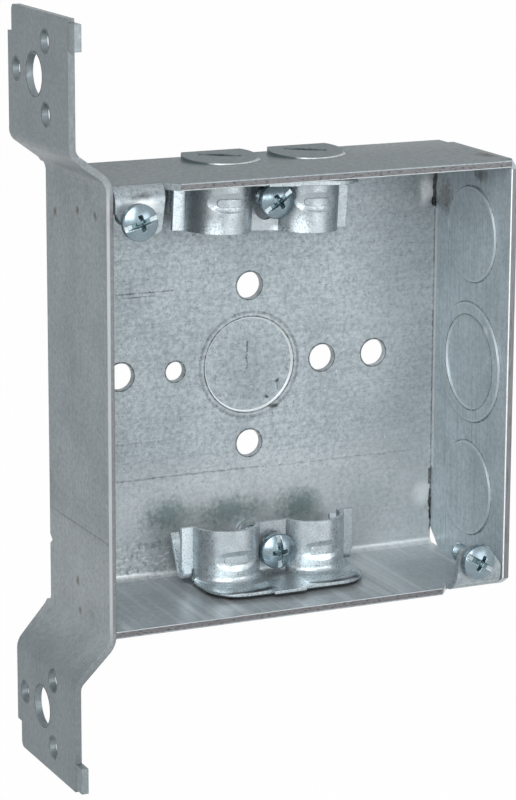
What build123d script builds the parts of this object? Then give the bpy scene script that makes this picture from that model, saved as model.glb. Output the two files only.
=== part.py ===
"""Square welded steel electrical box with an offset stud bracket, two cable clamps and its screws.

Millimetres. Each piece is drawn in the box's frame: X to the right, Y back from the plane of the open
front, Z up from the middle of the box. At the end all pieces move together, so that the origin lies on
the face that meets the stud, midway between the two large fixing holes of the bracket.
"""

from build123d import *
import os
from math import atan2, degrees, radians, sqrt, tan

# Box sheet
BOX_SIDE = 101.6
BOX_DEPTH = 38.1
SHEET = 1.6
BEND_INSIDE = 1.5

# Cover ears, folded from the front edges at two opposite corners, as seen at the lower right
EAR_WIDTH = 12.3
EAR_SIDE_GAP = 0.5
EAR_HEIGHT = 10.6
EAR_TAPER = 1.5
EAR_SHOULDER = 5.6
EAR_SLOPE = 3.6
EAR_BEND_INSIDE = 2.2
EAR_ROUND = 1.5
EAR_RELIEF = 3.2
COVER_SCREW_TO_SIDE = 7.8
COVER_SCREW_TO_WALL = 7.3
COVER_SCREW_SHIFT = -1.2

# Knockouts and holes
KNOCKOUT_HALF_INCH = 22.6
KNOCKOUT_THREE_QUARTER = 28.6
KNOCKOUT_PUSH = 0.5
TIE_DIAMETER = 3.2
TIE_DEPTH = 0.25
TIE_OFFSET = 6.2
SIDE_KNOCKOUT_DEPTH = 17.8
SIDE_KNOCKOUT_SPACING = 30.8
BACK_HOLE_DIAMETER = 6.4
BACK_PILOT_DIAMETER = 4.7
BACK_HOLE_NEAR = 19.05
BACK_HOLE_FAR = 32.8

# Pry-out cable entries in the top and bottom walls
PRYOUT_DIAMETER = 17.8
PRYOUT_SPACING = 21.8
PRYOUT_TO_BACK = 8.7
PRYOUT_CHORD_TO_BACK = 3.7
PRYOUT_FRONT_PUSH = 0.15
PRYOUT_BACK_PUSH = 1.2
PRY_SLOT_LENGTH = 10.0
PRY_SLOT_WIDTH = 1.7
PRY_SLOT_ANGLE = -24.0

# Right side plate
PLATE_REAR_CUT = 7.2
PLATE_FRONT_CUT_Y = 3.0
PLATE_FRONT_CUT_Z = 2.0
WELD_SLOT_Y = 18.6
WELD_SLOT_LENGTH = 8.4
WELD_SLOT_HEIGHT = 2.8
WELD_SLOT_RISE = 0.8
SEAM_GAP_WIDTH = 0.7
SEAM_GAP_UPPER_TO_WALL = 9.8
SEAM_GAP_UPPER_HEIGHT = 9.0
SEAM_GAP_LOWER_TO_WALL = 18.3
SEAM_GAP_LOWER_HEIGHT = 4.0

# Bracket
BRACKET_OFFSET = 8.6
STUD_EAR_LENGTH = 35.8
BRACKET_RISE = 1.2
BRACKET_BEND_GAP = 0.9
UPPER_BEND_ANGLE = 54.0
LOWER_BEND_ANGLE = 45.0
BRACKET_BEND_RADIUS = 4.0
STUD_EAR_SET_IN = 1.8
STUD_EAR_STEP = 2.4
STUD_EAR_STEP_LENGTH = 6.1
STUD_EAR_CORNER = 1.4
TAB_REACH = 4.0
TAB_HEIGHT = 5.9
TAB_DROP = 0.8
STUD_HOLE_DIAMETER = 9.5
STUD_HOLE_TO_BACK = 17.9
STUD_HOLE_TO_END = 14.1
NAIL_HOLE_DIAMETER = 4.8
NAIL_HOLES = ((11.0, 0.0), (-6.7, 7.9), (-6.8, -8.0))
NOTCH_TO_WALL = 14.2
NOTCH_DEPTH = 3.3
NOTCH_HEIGHT = 5.0
WELD_DENTS = ((11.0, 2.1), (11.5, 1.8))
DENT_ROUND = 6.0
DENT_DEPTH = 0.4

# Cable clamps, sizes of the lower one
CLAMP_SHEET = 1.0
CLAMP_SCREW_TO_WALL = 9.3
CLAMP_SEAT_TO_BACK = 13.5
UPPER_CLAMP_SETBACK = 4.5
UPPER_CLAMP_DROP = 1.3
UPPER_CLAMP_ROLL = 3.0
CLAMP_WALL_GAP = 0.8
CLAMP_RISE = 6.6
LOBE_SPACING = 22.1
LOBE_CHORD = 15.3
LOBE_CREST = 5.1
DISH_DEPTH = 0.5
DISH_LENGTH = 9.4
DISH_ROUND = 6.0
DISH_DROP = 0.6
BEAD_LENGTH = 6.5
BEAD_WIDTH = 1.8
BEAD_STANDS = 0.4
FOOT_REACH = 13.5
FOOT_WIDTH = 39.6
FOOT_CORNER = 8.0
FOOT_TAB_LEFT = 6.2
FOOT_TAB_RIGHT = 2.0
FOOT_TAB_REACH = 1.1
FOOT_COVE = 1.5
CLAMP_SLOT_WIDTH = 5.6
CLAMP_SLOT_HEIGHT = 8.0
END_STRIP_SETBACK = 2.4
END_STRIP_WIDTH = 3.9
END_STRIP_HEIGHT = 10.0
LEG_WIDTH = 2.1
LEG_BEND_INSIDE = 0.6
LEG_FOOT_GAP = 1.0
LEG_TIP_DROP = 3.4
LEG_TIP_GAP = 0.3
LOWER_CLAMP_TRAVEL = 2.4
UPPER_CLAMP_TRAVEL = 1.4

# Screws: No. 10-32 for the clamps and No. 8-32 for the cover
CLAMP_SCREW_DIAMETER = 4.826
CLAMP_SCREW_HEAD = 8.5
CLAMP_SCREW_HEAD_HEIGHT = 2.9
CLAMP_SCREW_LENGTH = 15.9
COVER_SCREW_DIAMETER = 4.166
COVER_SCREW_HEAD = 8.2
COVER_SCREW_HEAD_HEIGHT = 2.7
COVER_SCREW_LENGTH = 9.5
THREAD_CLEARANCE = 0.08
HEAD_SEAT_GAP = 0.3
UPPER_SCREW_SETBACK = 1.4
HEAD_EDGE = 1.5
SCREW_SLOT_WIDTH = 1.2
SCREW_SLOT_DEPTH = 1.2
CROSS_WIDTH = 1.1
CROSS_SPAN = 4.4
CROSS_BOTTOM_WIDTH = 0.6
CROSS_BOTTOM_SPAN = 1.6
CROSS_DEPTH = 1.7
UPPER_COVER_STANDOFF = 1.9
LOWER_COVER_STANDOFF = 0.7
FLANGE_WALL = 1.3
FLANGE_HEIGHT = 1.6

# Turn of each screw's slot from the horizontal, seen from the front
SLOT_TURN = {"upper_clamp": 35.0, "lower_clamp": 93.0, "upper_cover": 17.0, "lower_cover": -32.0}

# How far a cutter reaches past the sheet it cuts
OVERCUT = 4.0

HALF = BOX_SIDE / 2
INNER_HALF = HALF - SHEET
BACK_INSIDE = BOX_DEPTH - SHEET
CLAMP_SEAT_Y = BACK_INSIDE - CLAMP_SEAT_TO_BACK
STUD_HOLE_Y = BOX_DEPTH - STUD_HOLE_TO_BACK
BRACKET_HALF_HEIGHT = HALF + STUD_EAR_LENGTH
STUD_HOLE_Z = BRACKET_HALF_HEIGHT - STUD_HOLE_TO_END
CLAMP_SCREW_Z = HALF - CLAMP_SCREW_TO_WALL
COVER_SCREW_X = HALF - COVER_SCREW_TO_SIDE
COVER_SCREW_Z = HALF - COVER_SCREW_TO_WALL
EAR_BEND_OUTSIDE = EAR_BEND_INSIDE + SHEET
HALF_TURN = Rot(0, 180, 0)
CUT_LENGTH = SHEET + 2 * OVERCUT


def block(x, y, z):
    """Box between the limits given for each axis as (low, high)."""
    centre = [(low + high) / 2 for low, high in (x, y, z)]
    return Pos(*centre) * Box(*(high - low for low, high in (x, y, z)))


def across(diameter, x, z, y):
    """Round bar along Y between the limits y, at x and z."""
    bar = Rot(90, 0, 0) * Cylinder(diameter / 2, y[1] - y[0])
    return Pos(x, sum(y) / 2, z) * bar


def bent_strip(points, radius, thickness):
    """Face of a folded strip: its outer line through the points, with round bends, thickened to the left."""
    line = FilletPolyline(*points, radius=radius)
    return Sketch() + Face(line.wire().offset_2d(thickness, side=Side.LEFT))


def knockout(sheet, disc, inward, push):
    """Half-sheared disc: the disc, a bar through the sheet, is pushed by the vector inward times push."""
    step = Pos(*(push * c for c in inward))
    return (sheet - disc) + step * (sheet & disc)


def rounded_back(depth, height, radius):
    """Rectangle from the front plane back, with its two rear corners rounded."""
    outline = Pos(depth / 2, 0) * Rectangle(depth, height)
    return fillet(outline.vertices().group_by(Axis.X)[-1], radius)


def ear_outline():
    """Front view of the lower right cover ear, from below the floor up."""
    low, top = -HALF - SHEET, -HALF + EAR_HEIGHT
    right = INNER_HALF - EAR_SIDE_GAP
    left = right - EAR_WIDTH
    points = [
        (left, low),
        (left + EAR_TAPER, top),
        (right - EAR_SLOPE, top),
        (right, -HALF + EAR_SHOULDER),
        (right, low),
    ]
    outline = make_face(Polyline(*points, close=True))
    return fillet(outline.vertices().group_by(Axis.Y)[-1], EAR_ROUND)


def cover_ear(screw_x):
    """Lower right cover ear: an L section folded up from the floor, trimmed to its outline and tapped."""
    reach = EAR_BEND_OUTSIDE + SHEET
    corner = (0, -HALF)
    outer = Pos(reach / 2, -HALF + EAR_HEIGHT / 2) * Rectangle(reach, EAR_HEIGHT)
    outer = fillet(outer.vertices().sort_by_distance(corner)[0], EAR_BEND_OUTSIDE)
    inner = Pos(SHEET + reach / 2, -HALF + SHEET + EAR_HEIGHT / 2) * Rectangle(reach, EAR_HEIGHT)
    inner = fillet(inner.vertices().sort_by_distance(corner)[0], EAR_BEND_INSIDE)
    section = extrude(Plane.YZ * (outer - inner), amount=HALF)
    trim = extrude(Plane.XZ * ear_outline(), amount=-reach)
    hole = across(COVER_SCREW_DIAMETER + 2 * THREAD_CLEARANCE, screw_x, -COVER_SCREW_Z, (-SHEET, reach))
    return (section & trim) - hole


def ear_relief():
    """What the floor loses in front of the ear's bend, with the slanted relief beside it."""
    left = INNER_HALF - EAR_SIDE_GAP - EAR_WIDTH
    points = [
        (left - EAR_RELIEF, -SHEET),
        (left - EAR_RELIEF, 0),
        (left, EAR_BEND_OUTSIDE),
        (HALF, EAR_BEND_OUTSIDE),
        (HALF, -SHEET),
    ]
    outline = make_face(Polyline(*points, close=True))
    return Pos(0, 0, -HALF - OVERCUT) * extrude(outline, amount=CUT_LENGTH)


def pryout(x):
    """Round entry with a flat back in the top wall: its shearing bar, leaning leaf and slot cutter."""
    centre = Pos(x, BOX_DEPTH - PRYOUT_TO_BACK)
    keep = Pos(x, BOX_DEPTH / 2 - PRYOUT_CHORD_TO_BACK) * Rectangle(PRYOUT_DIAMETER, BOX_DEPTH)
    outline = keep & (centre * Circle(PRYOUT_DIAMETER / 2))
    slot = centre * Rot(0, 0, PRY_SLOT_ANGLE) * SlotOverall(PRY_SLOT_LENGTH, PRY_SLOT_WIDTH)
    rise = Pos(0, 0, INNER_HALF - OVERCUT)
    bar, slot = (rise * extrude(shape, amount=CUT_LENGTH) for shape in (outline, slot))
    front = BOX_DEPTH - PRYOUT_TO_BACK - PRYOUT_DIAMETER / 2
    length = BOX_DEPTH - PRYOUT_CHORD_TO_BACK - front
    lean = degrees(atan2(PRYOUT_BACK_PUSH - PRYOUT_FRONT_PUSH, length))
    hinge = Pos(x, front, HALF - SHEET / 2 + PRYOUT_FRONT_PUSH)
    leaf = bar & hinge * Rot(lean, 0, 0) * Box(2 * PRYOUT_DIAMETER, 2 * BOX_DEPTH, SHEET)
    return bar, leaf, slot


def body_channel():
    """Back, top and bottom walls from one sheet, with ears, screw flanges, knockout, pry-outs and holes."""
    profile = rounded_back(BOX_DEPTH, BOX_SIDE, BEND_INSIDE + SHEET)
    profile -= rounded_back(BACK_INSIDE, 2 * INNER_HALF, BEND_INSIDE)
    channel = extrude(Plane.YZ * profile, amount=INNER_HALF, both=True)
    for turn, shift in ((Pos(), COVER_SCREW_SHIFT), (HALF_TURN, -COVER_SCREW_SHIFT)):
        channel = channel - turn * ear_relief() + turn * cover_ear(COVER_SCREW_X + shift)

    through = (BACK_INSIDE - OVERCUT, BOX_DEPTH + OVERCUT)
    bore = CLAMP_SCREW_DIAMETER + 2 * THREAD_CLEARANCE
    for z in (CLAMP_SCREW_Z, -CLAMP_SCREW_Z):
        channel += across(bore + 2 * FLANGE_WALL, 0, z, (BACK_INSIDE - FLANGE_HEIGHT, BACK_INSIDE))
        channel -= across(bore, 0, z, through)

    disc = across(KNOCKOUT_HALF_INCH, 0, 0, through)
    channel = knockout(channel, disc, (0, 1, 0), KNOCKOUT_PUSH)
    tie_face = BACK_INSIDE + KNOCKOUT_PUSH
    channel -= across(TIE_DIAMETER, TIE_OFFSET, -TIE_OFFSET, (tie_face - SHEET, tie_face + TIE_DEPTH))

    large = [(0, BACK_HOLE_NEAR), (0, -BACK_HOLE_NEAR), (BACK_HOLE_NEAR, 0)]
    large += [(BACK_HOLE_FAR, 0), (-BACK_HOLE_FAR, 0)]
    for x, z in large:
        channel -= across(BACK_HOLE_DIAMETER, x, z, through)
    channel -= across(BACK_PILOT_DIAMETER, -BACK_HOLE_NEAR, 0, through)

    for x in (-PRYOUT_SPACING / 2, PRYOUT_SPACING / 2):
        upper = pryout(x)
        lower = [mirror(piece, about=Plane.XY) for piece in upper]
        for bar, leaf, slot in (upper, lower):
            channel = channel - bar + leaf - slot

    gap = (INNER_HALF - SEAM_GAP_WIDTH, HALF)
    upper_gap = (HALF - SEAM_GAP_UPPER_TO_WALL, SEAM_GAP_UPPER_HEIGHT)
    lower_gap = (SEAM_GAP_LOWER_TO_WALL - HALF, SEAM_GAP_LOWER_HEIGHT)
    for z, height in (upper_gap, lower_gap):
        channel -= block(gap, through, (z - height / 2, z + height / 2))
    return channel


def right_side_plate():
    """Flat plate with cut corners, three knockouts pushed inwards and a weld slot by the floor."""
    outline = Pos(BOX_DEPTH / 2, 0) * Rectangle(BOX_DEPTH, BOX_SIDE)
    outline = chamfer(outline.vertices().group_by(Axis.X)[-1], PLATE_REAR_CUT)
    for side in (1, -1):
        corner = [(0, HALF), (PLATE_FRONT_CUT_Y, HALF), (0, HALF - PLATE_FRONT_CUT_Z)]
        outline -= make_face(Polyline(*((y, side * z) for y, z in corner), close=True))
    plate = Pos(INNER_HALF, 0, 0) * extrude(Plane.YZ * outline, amount=SHEET)

    def bar(diameter, z):
        return Pos(HALF, SIDE_KNOCKOUT_DEPTH, z) * Rot(0, 90, 0) * Cylinder(diameter / 2, CUT_LENGTH)

    inward = (-1, 0, 0)
    for z in (SIDE_KNOCKOUT_SPACING, -SIDE_KNOCKOUT_SPACING):
        plate = knockout(plate, bar(KNOCKOUT_HALF_INCH, z), inward, KNOCKOUT_PUSH)
    plate = knockout(plate, bar(KNOCKOUT_THREE_QUARTER, 0), inward, KNOCKOUT_PUSH)
    plate = knockout(plate, bar(KNOCKOUT_HALF_INCH, 0), (1, 0, 0), KNOCKOUT_PUSH)

    low = -INNER_HALF + WELD_SLOT_RISE
    reach = (WELD_SLOT_Y - WELD_SLOT_LENGTH / 2, WELD_SLOT_Y + WELD_SLOT_LENGTH / 2)
    return plate - block((INNER_HALF - OVERCUT, HALF + OVERCUT), reach, (low, low + WELD_SLOT_HEIGHT))


def bracket_outline():
    """Side view of the strip: set in behind each ear, stepped behind its end and tabbed in front."""
    rear = BOX_DEPTH - STUD_EAR_SET_IN
    step = BRACKET_HALF_HEIGHT - STUD_EAR_STEP_LENGTH
    end = Pos((rear - STUD_EAR_STEP) / 2, 0) * Rectangle(rear - STUD_EAR_STEP, 2 * BRACKET_HALF_HEIGHT)
    outline = fillet(end.vertices().group_by(Axis.X)[-1], STUD_EAR_CORNER)
    outline += Pos(rear / 2, 0) * Rectangle(rear, 2 * step)
    tab_middle = BRACKET_HALF_HEIGHT - TAB_DROP - TAB_HEIGHT / 2
    for side in (1, -1):
        outline += Pos(0, side * tab_middle) * Rectangle(2 * TAB_REACH, TAB_HEIGHT)
    outline = Pos(0, BRACKET_RISE) * outline
    wide = HALF + BRACKET_BEND_GAP
    narrow = wide + BRACKET_OFFSET
    flank = [(0, wide), (BOX_DEPTH, wide), (rear, narrow), (0, narrow)]
    outline += make_face(Polyline(*flank, *((y, -z) for y, z in reversed(flank)), close=True))
    notch_z = NOTCH_TO_WALL - HALF
    notch = [(BOX_DEPTH, notch_z + NOTCH_HEIGHT / 2), (BOX_DEPTH, notch_z - NOTCH_HEIGHT / 2)]
    return outline - make_face(Polyline((BOX_DEPTH - NOTCH_DEPTH, notch_z), *notch, close=True))


def mounting_bracket():
    """Strip that closes the left side, both ends offset to the stud, with holes, tabs, notch and dents."""
    wall, stud = -HALF, -HALF - BRACKET_OFFSET
    bend = HALF + BRACKET_BEND_GAP
    upper_bend = bend + BRACKET_OFFSET / tan(radians(UPPER_BEND_ANGLE))
    lower_bend = bend + BRACKET_OFFSET / tan(radians(LOWER_BEND_ANGLE))
    points = [(stud, BRACKET_RISE + BRACKET_HALF_HEIGHT), (stud, upper_bend), (wall, bend)]
    points += [(wall, -bend), (stud, -lower_bend), (stud, BRACKET_RISE - BRACKET_HALF_HEIGHT)]
    section = bent_strip(points, BRACKET_BEND_RADIUS, SHEET)
    strip = Pos(0, -TAB_REACH, 0) * extrude(Plane.XZ * section, amount=-(BOX_DEPTH + TAB_REACH))
    side_view = extrude(Plane.YZ * bracket_outline(), amount=BRACKET_OFFSET + CUT_LENGTH)
    strip &= Pos(stud - OVERCUT, 0, 0) * side_view

    def hole(diameter, y, z):
        return Pos(stud, y, z) * Rot(0, 90, 0) * Cylinder(diameter / 2, CUT_LENGTH)

    for side in (1, -1):
        strip -= hole(STUD_HOLE_DIAMETER, STUD_HOLE_Y, BRACKET_RISE + side * STUD_HOLE_Z)
        for y, z in NAIL_HOLES:
            strip -= hole(NAIL_HOLE_DIAMETER, STUD_HOLE_Y + y, BRACKET_RISE + side * (STUD_HOLE_Z + z))
    for side, (y, to_wall) in zip((1, -1), WELD_DENTS):
        dent = Pos(wall - DENT_ROUND + DENT_DEPTH, y, side * (HALF - to_wall))
        strip -= dent * Sphere(DENT_ROUND)
    return strip


def clamp_leg(tip_y):
    """Tongue below the right end strip that turns back and leans up as a spring, as far as tip_y."""
    front = CLAMP_SEAT_Y + END_STRIP_SETBACK
    top = -CLAMP_SCREW_Z + CLAMP_RISE
    turn = -INNER_HALF + CLAMP_WALL_GAP + LEG_FOOT_GAP
    bend = LEG_BEND_INSIDE + CLAMP_SHEET
    down = [(front, top - END_STRIP_HEIGHT + CLAMP_SHEET), (front, turn)]
    up = [(front + 2 * bend, turn), (tip_y, top - LEG_TIP_DROP)]
    section = bent_strip(down + up, bend, CLAMP_SHEET)
    start = LOBE_SPACING / 2 + lobe_radius() + (END_STRIP_WIDTH - CLAMP_SHEET - LEG_WIDTH) / 2
    return Pos(start, 0, 0) * extrude(Plane.YZ * section, amount=LEG_WIDTH)


def lobe_radius():
    """Outside radius of a lobe, from its chord and how far its crest stands forward."""
    return ((LOBE_CHORD / 2) ** 2 + LOBE_CREST**2) / (2 * LOBE_CREST)


def pressed_dish():
    """Eye-shaped dish with a bead left in it, as a cutter for a lobe whose axis is Z through the origin."""
    radius = lobe_radius()
    half = DISH_LENGTH / 2
    setback = DISH_DEPTH * radius / (radius - sqrt(radius**2 - half**2))
    ring = Pos(0, setback, 0) * Torus(radius - DISH_DEPTH + setback + DISH_ROUND, DISH_ROUND)
    front = Pos(0, -radius, 0) * Box(DISH_LENGTH + OVERCUT, 2 * radius, 2 * DISH_ROUND)
    bead = extrude(Plane.XZ * SlotOverall(BEAD_LENGTH, BEAD_WIDTH), amount=2 * radius)
    bead &= Cylinder(radius - DISH_DEPTH + BEAD_STANDS, DISH_ROUND)
    return (ring & front) - bead


def cove_profile():
    """Section of the rounded inside corner between a wall, whose face is at 0, and the foot."""
    root = CLAMP_SHEET / 2
    corner = Pos((FOOT_COVE - root) / 2, FOOT_COVE / 2) * Rectangle(FOOT_COVE + root, FOOT_COVE)
    return corner - Pos(FOOT_COVE, FOOT_COVE) * Circle(FOOT_COVE)


def cable_clamp(leg_tip_y):
    """Lower clamp: a wall with two lobes and a flat seat, a foot along the floor, end strips and legs."""
    radius = lobe_radius()
    lobe_x = LOBE_SPACING / 2
    axis_y = CLAMP_SEAT_Y - LOBE_CREST + radius
    crest_y = CLAMP_SEAT_Y - LOBE_CREST
    strip_y = CLAMP_SEAT_Y + END_STRIP_SETBACK
    foot_low = -INNER_HALF + CLAMP_WALL_GAP
    top = -CLAMP_SCREW_Z + CLAMP_RISE
    hollows = [Pos(side * lobe_x, axis_y) * Circle(radius - CLAMP_SHEET) for side in (1, -1)]

    seat_width = LOBE_SPACING - LOBE_CHORD + 2 * CLAMP_SHEET
    wall = Pos(0, CLAMP_SEAT_Y + CLAMP_SHEET / 2) * Rectangle(seat_width, CLAMP_SHEET)
    for side, hollow in zip((1, -1), hollows):
        shell = Pos(side * lobe_x, axis_y) * Circle(radius) - hollow
        inner_depth = LOBE_CREST + CLAMP_SHEET
        outer_depth = inner_depth + END_STRIP_SETBACK
        keep = Pos(side * (lobe_x - radius / 2), crest_y + inner_depth / 2) * Rectangle(radius, inner_depth)
        keep += Pos(side * (lobe_x + radius / 2), crest_y + outer_depth / 2) * Rectangle(radius, outer_depth)
        wall += shell & keep
    clamp = Pos(0, 0, foot_low) * extrude(wall, amount=top - foot_low)

    foot_back = CLAMP_SEAT_Y + CLAMP_SHEET
    foot_depth = FOOT_REACH + CLAMP_SHEET
    foot = Pos(0, foot_back - foot_depth / 2) * Rectangle(FOOT_WIDTH, foot_depth)
    foot = fillet(foot.vertices().group_by(Axis.Y)[0], FOOT_CORNER)
    tab_x = (FOOT_TAB_RIGHT - FOOT_TAB_LEFT) / 2
    tab_y = CLAMP_SEAT_Y - FOOT_REACH
    foot += Pos(tab_x, tab_y) * Rectangle(FOOT_TAB_RIGHT + FOOT_TAB_LEFT, 2 * FOOT_TAB_REACH)
    for hollow in hollows:
        foot -= hollow
    clamp += Pos(0, 0, foot_low) * extrude(foot, amount=CLAMP_SHEET)
    coves = Pos(CLAMP_SEAT_Y, 0) * mirror(cove_profile(), about=Plane.YZ)
    coves = extrude(Plane.YZ * coves, amount=seat_width / 2, both=True)
    for side in (1, -1):
        ring = revolve(Plane.XZ * (Pos(radius, 0) * cove_profile()), axis=Axis.Z)
        coves += Pos(side * lobe_x, axis_y, 0) * ring
    coves = coves & extrude(foot, amount=FOOT_COVE)
    clamp += Pos(0, 0, foot_low + CLAMP_SHEET) * coves

    strip_low = top - END_STRIP_HEIGHT
    strip_start = lobe_x + radius - CLAMP_SHEET
    slot = SlotOverall(CLAMP_SLOT_HEIGHT, CLAMP_SLOT_WIDTH, rotation=90)
    clamp -= Pos(0, BOX_DEPTH, -CLAMP_SCREW_Z) * extrude(Plane.XZ * slot, amount=BOX_DEPTH)
    for side in (1, -1):
        reach = sorted((side * strip_start, side * (strip_start + END_STRIP_WIDTH)))
        clamp += block(reach, (strip_y, strip_y + CLAMP_SHEET), (strip_low, top))
        clamp -= Pos(side * lobe_x, axis_y, -CLAMP_SCREW_Z - DISH_DROP) * pressed_dish()
    leg = clamp_leg(leg_tip_y)
    return clamp + leg + mirror(leg, about=Plane.YZ)


def upper_clamp():
    """The same clamp upside down, loose on its screw: further back, a little lower and askew."""
    tip_y = BACK_INSIDE - LEG_TIP_GAP - UPPER_CLAMP_TRAVEL - UPPER_CLAMP_SETBACK
    clamp = mirror(cable_clamp(tip_y), about=Plane.XY)
    pivot = Pos(0, 0, CLAMP_SCREW_Z)
    askew = pivot * Rot(0, UPPER_CLAMP_ROLL, 0) * pivot.inverse()
    return Pos(0, UPPER_CLAMP_SETBACK, -UPPER_CLAMP_DROP) * askew * clamp


def screw(diameter, length, head, head_height, turn):
    """Round-head screw along +Y, underside of its head at Y 0, with a slot and a cross recess."""
    dome = head_height - HEAD_EDGE
    dome_radius = ((head / 2) ** 2 + dome**2) / (2 * dome)
    body = across(head, 0, 0, (-head_height, 0)) & Pos(0, dome_radius - head_height, 0) * Sphere(dome_radius)
    body += across(diameter, 0, 0, (0, length))
    half_slot = SCREW_SLOT_WIDTH / 2
    cuts = block((-head, head), (-head_height, SCREW_SLOT_DEPTH - head_height), (-half_slot, half_slot))
    mouth = Plane.XZ * Rectangle(CROSS_SPAN, CROSS_WIDTH)
    bottom = Plane.XZ.offset(-CROSS_DEPTH) * Rectangle(CROSS_BOTTOM_SPAN, CROSS_BOTTOM_WIDTH)
    wing = loft([mouth, bottom])
    for angle in (0, 90):
        cuts += Pos(0, -head_height, 0) * Rot(0, angle, 0) * wing
    return Rot(0, -turn, 0) * (body - cuts)


def head_seat():
    """Where a clamp screw's head has its underside, just ahead of the lobes' flanks or of the flat seat."""
    radius = lobe_radius()
    flank = min(LOBE_SPACING / 2 - CLAMP_SCREW_HEAD / 2, radius)
    lobes = CLAMP_SEAT_Y - LOBE_CREST + radius - sqrt(radius**2 - flank**2)
    return min(lobes, CLAMP_SEAT_Y) - HEAD_SEAT_GAP


def clamp_screw(side, seat_y, turn):
    """Clamp screw with the underside of its head at the given depth."""
    piece = screw(CLAMP_SCREW_DIAMETER, CLAMP_SCREW_LENGTH, CLAMP_SCREW_HEAD, CLAMP_SCREW_HEAD_HEIGHT, turn)
    return Pos(0, seat_y, side * CLAMP_SCREW_Z) * piece


def cover_screw(side, standoff, turn):
    """Cover screw in the ear at the upper left (side 1) or lower right (side -1)."""
    piece = screw(COVER_SCREW_DIAMETER, COVER_SCREW_LENGTH, COVER_SCREW_HEAD, COVER_SCREW_HEAD_HEIGHT, turn)
    return Pos(COVER_SCREW_SHIFT - side * COVER_SCREW_X, -standoff, side * COVER_SCREW_Z) * piece


def pieces():
    """Every piece by name, in the box's frame."""
    return {
        "body_channel": body_channel(),
        "right_side_plate": right_side_plate(),
        "mounting_bracket": mounting_bracket(),
        "upper_cable_clamp": upper_clamp(),
        "lower_cable_clamp": cable_clamp(BACK_INSIDE - LEG_TIP_GAP - LOWER_CLAMP_TRAVEL),
        "upper_clamp_screw": clamp_screw(1, head_seat() + UPPER_SCREW_SETBACK, SLOT_TURN["upper_clamp"]),
        "lower_clamp_screw": clamp_screw(-1, head_seat(), SLOT_TURN["lower_clamp"]),
        "upper_cover_screw": cover_screw(1, UPPER_COVER_STANDOFF, SLOT_TURN["upper_cover"]),
        "lower_cover_screw": cover_screw(-1, LOWER_COVER_STANDOFF, SLOT_TURN["lower_cover"]),
    }


to_stud = Pos(HALF + BRACKET_OFFSET, -STUD_HOLE_Y, -BRACKET_RISE)
os.makedirs("parts", exist_ok=True)
for name, piece in pieces().items():
    export_step(to_stud * piece, f"parts/{name}.step")
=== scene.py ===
"""Looks of a square welded steel electrical box: its finishes, pressed clamps, threaded screws and studio.

The file has the layout of an add-on and is run as a script. Lengths are metres in the part's own frame:
X from the stud across the box, Y from the open front to the back, Z up. The finishes measure in millimetres
from the middle of the box's open front.
"""

import bpy
import numpy as np
from mathutils import Matrix, Vector


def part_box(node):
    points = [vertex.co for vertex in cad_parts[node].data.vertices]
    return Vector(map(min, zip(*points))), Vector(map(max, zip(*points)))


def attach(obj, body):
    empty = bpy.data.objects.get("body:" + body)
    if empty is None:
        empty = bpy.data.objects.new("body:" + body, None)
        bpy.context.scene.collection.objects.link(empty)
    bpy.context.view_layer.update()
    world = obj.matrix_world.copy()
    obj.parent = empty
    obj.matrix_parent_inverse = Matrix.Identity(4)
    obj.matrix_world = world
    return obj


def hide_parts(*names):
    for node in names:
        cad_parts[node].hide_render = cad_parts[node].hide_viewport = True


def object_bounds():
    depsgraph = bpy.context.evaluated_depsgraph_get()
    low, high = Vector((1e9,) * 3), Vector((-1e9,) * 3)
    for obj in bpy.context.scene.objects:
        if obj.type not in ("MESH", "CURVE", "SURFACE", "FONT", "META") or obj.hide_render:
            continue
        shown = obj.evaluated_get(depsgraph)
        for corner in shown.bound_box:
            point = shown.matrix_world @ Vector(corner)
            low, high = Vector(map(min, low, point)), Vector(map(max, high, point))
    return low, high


bl_info = {
    "name": "Galvanised Electrical Box",
    "version": (1, 0, 0),
    "blender": (4, 5, 0),
    "location": "View3D > Sidebar > Steel Box",
    "description": "Finishes the sheets, clamps and screws of a square electrical box and lights it",
    "category": "Object",
}

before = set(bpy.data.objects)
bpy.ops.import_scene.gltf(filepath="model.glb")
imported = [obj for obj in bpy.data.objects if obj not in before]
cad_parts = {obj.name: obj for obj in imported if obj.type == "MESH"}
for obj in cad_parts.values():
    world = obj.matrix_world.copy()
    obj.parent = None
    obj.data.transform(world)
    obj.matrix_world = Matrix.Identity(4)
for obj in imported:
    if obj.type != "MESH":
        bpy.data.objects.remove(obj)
cad_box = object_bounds()

MM = 0.001
CLAMPS = ("upper_cable_clamp", "lower_cable_clamp")

# The middle of the open front, in millimetres of the frame, and the box's own sizes from there
BODY_LOW, BODY_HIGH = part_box("body_channel")
PLATE_LOW, PLATE_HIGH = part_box("right_side_plate")
OPENING = ((BODY_LOW.x + BODY_HIGH.x) / 2 / MM, PLATE_LOW.y / MM, (PLATE_LOW.z + PLATE_HIGH.z) / 2 / MM)
HALF = (PLATE_HIGH.z - PLATE_LOW.z) / 2 / MM
SHEET = 1.6
INNER = HALF - SHEET
BACK = (PLATE_HIGH.y - PLATE_LOW.y) / MM - SHEET

# Screws: node, body, shank diameter, length below the head, head height and turn of the slot in degrees
SCREWS = (
    ("upper_clamp_screw", "upper_clamping_screw", 4.826, 15.9, 2.9, 35.0),
    ("lower_clamp_screw", "lower_clamping_screw", 4.826, 15.9, 2.9, 93.0),
    ("upper_cover_screw", "upper_cover_fixing", 4.166, 9.5, 2.7, 17.0),
    ("lower_cover_screw", "lower_cover_fixing", 4.166, 9.5, 2.7, -32.0),
)

# Head: height of its rim and of the row below it, rounding underneath, and the rim's share of the radius
HEAD_EDGE = 1.5
SIDE_ROW = 0.25
HEAD_ROUND = 0.08
RIM_SHARE = 0.035
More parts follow.
